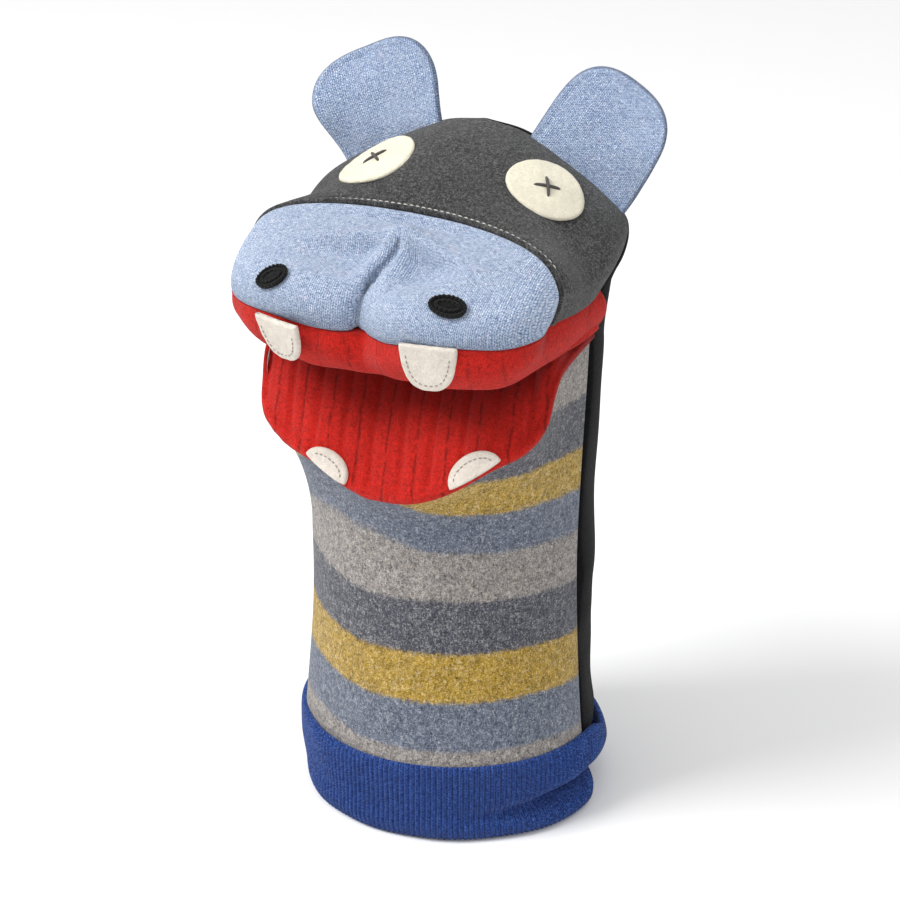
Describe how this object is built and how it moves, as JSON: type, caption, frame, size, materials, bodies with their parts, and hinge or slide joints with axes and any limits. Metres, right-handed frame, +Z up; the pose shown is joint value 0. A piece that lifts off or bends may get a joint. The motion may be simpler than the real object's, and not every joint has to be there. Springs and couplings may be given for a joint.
{
  "type": "hand puppet",
  "caption": "Felted-knit glove puppet: ribbed cuff, striped sleeve, wide animal head with round ears, button-like eyes, hinged mouth with felt teeth.",
  "frame": {"origin": "on the ground, under the middle of the puppet's bounding box; the cuff's centre is 9.45 mm behind it", "axes": "+Z up the sleeve, the face looks along -Y, the puppet's left side is +X"},
  "size_m": [0.1442, 0.135, 0.2814],
  "materials": {
    "cuff_knit": "fine rib knit, royal blue",
    "striped_felt": "felted knit with soft-edged horizontal stripes: beige-grey, steel blue, mustard and charcoal",
    "back_felt": "felted knit, near-black navy",
    "mouth_knit": "felted rib knit, red",
    "crown_felt": "felted wool, heathered charcoal",
    "snout_knit": "fine felted knit, heathered light blue",
    "eye_felt": "craft felt, cream",
    "dark_yarn": "stitched yarn, dark grey-brown",
    "black_felt": "craft felt and thread, black",
    "white_felt": "craft felt, white",
    "sewing_thread": "sewing thread, off-white"
  },
  "bodies": {
    "sleeve": {"cuff": "cuff_knit", "sleeve_front_lower": "striped_felt", "sleeve_back_lower": "back_felt"},
    "forearm": {"sleeve_front_forearm": "striped_felt", "sleeve_back_forearm": "back_felt"},
    "hand": {"sleeve_front_hand": "striped_felt", "sleeve_back_hand": "back_felt", "mouth_fold": "mouth_knit"},
    "head": {"head_back": "back_felt", "upper_lip_and_palate": "mouth_knit", "crown_panel": "crown_felt", "snout_panel": "snout_knit", "brow_topstitch": "sewing_thread", "eye_left": "eye_felt", "eye_left_cross": "dark_yarn", "nostril_left": "black_felt", "nostril_left_stitching": "black_felt", "eye_right": "eye_felt", "eye_right_cross": "dark_yarn", "nostril_right": "black_felt", "nostril_right_stitching": "black_felt"},
    "jaw": {"jaw_underside": "striped_felt", "lower_palate": "mouth_knit"},
    "ear_left": {"ear_left_front": "snout_knit", "ear_left_back": "snout_knit"},
    "tooth_upper_left": {"tooth_upper_left": "white_felt", "tooth_upper_left_stitching": "sewing_thread"},
    "tooth_lower_left": {"tooth_lower_left": "white_felt", "tooth_lower_left_stitching": "sewing_thread"},
    "ear_right": {"ear_right_front": "snout_knit", "ear_right_back": "snout_knit"},
    "tooth_upper_right": {"tooth_upper_right": "white_felt", "tooth_upper_right_stitching": "sewing_thread"},
    "tooth_lower_right": {"tooth_lower_right": "white_felt", "tooth_lower_right_stitching": "sewing_thread"}
  },
  "joints": [
    {"name": "sleeve_turn", "type": "hinge", "parent": "sleeve", "child": "forearm", "pos_m": [0, 0.00945, 0.056], "axis": [0, 0, 1], "range_deg": [-35, 35]},
    {"name": "wrist_nod", "type": "hinge", "parent": "forearm", "child": "hand", "pos_m": [0, 0.00945, 0.085], "axis": [1, 0, 0], "range_deg": [-14, 14]},
    {"name": "head_lift", "type": "hinge", "parent": "hand", "child": "head", "pos_m": [0, 0.01345, 0.2], "axis": [-1, 0, 0], "range_deg": [-10, 12]},
    {"name": "jaw_close", "type": "hinge", "parent": "hand", "child": "jaw", "pos_m": [0, 0.01345, 0.2], "axis": [-1, 0, 0], "range_deg": [-4, 18]},
    {"name": "ear_left_flap", "type": "hinge", "parent": "head", "child": "ear_left", "pos_m": [0.03775, 0.03245, 0.2425], "axis": [0.8733, 0.0026, -0.4872], "range_deg": [-20, 20]},
    {"name": "tooth_upper_left_flap", "type": "hinge", "parent": "head", "child": "tooth_upper_left", "pos_m": [0.0293, -0.06525, 0.2046], "axis": [-1, 0, 0], "range_deg": [0, 35]},
    {"name": "tooth_lower_left_flap", "type": "hinge", "parent": "jaw", "child": "tooth_lower_left", "pos_m": [0.03156, -0.04872, 0.15136], "axis": [0.9587, 0.1031, 0.2651], "range_deg": [0, 50]},
    {"name": "ear_right_flap", "type": "hinge", "parent": "head", "child": "ear_right", "pos_m": [-0.03775, 0.03245, 0.2425], "axis": [0.8733, -0.0026, 0.4872], "range_deg": [-20, 20]},
    {"name": "tooth_upper_right_flap", "type": "hinge", "parent": "head", "child": "tooth_upper_right", "pos_m": [-0.0293, -0.06525, 0.2046], "axis": [-1, 0, 0], "range_deg": [0, 35]},
    {"name": "tooth_lower_right_flap", "type": "hinge", "parent": "jaw", "child": "tooth_lower_right", "pos_m": [-0.03156, -0.04872, 0.15136], "axis": [0.9587, -0.1031, -0.2651], "range_deg": [0, 50]}
  ]
}
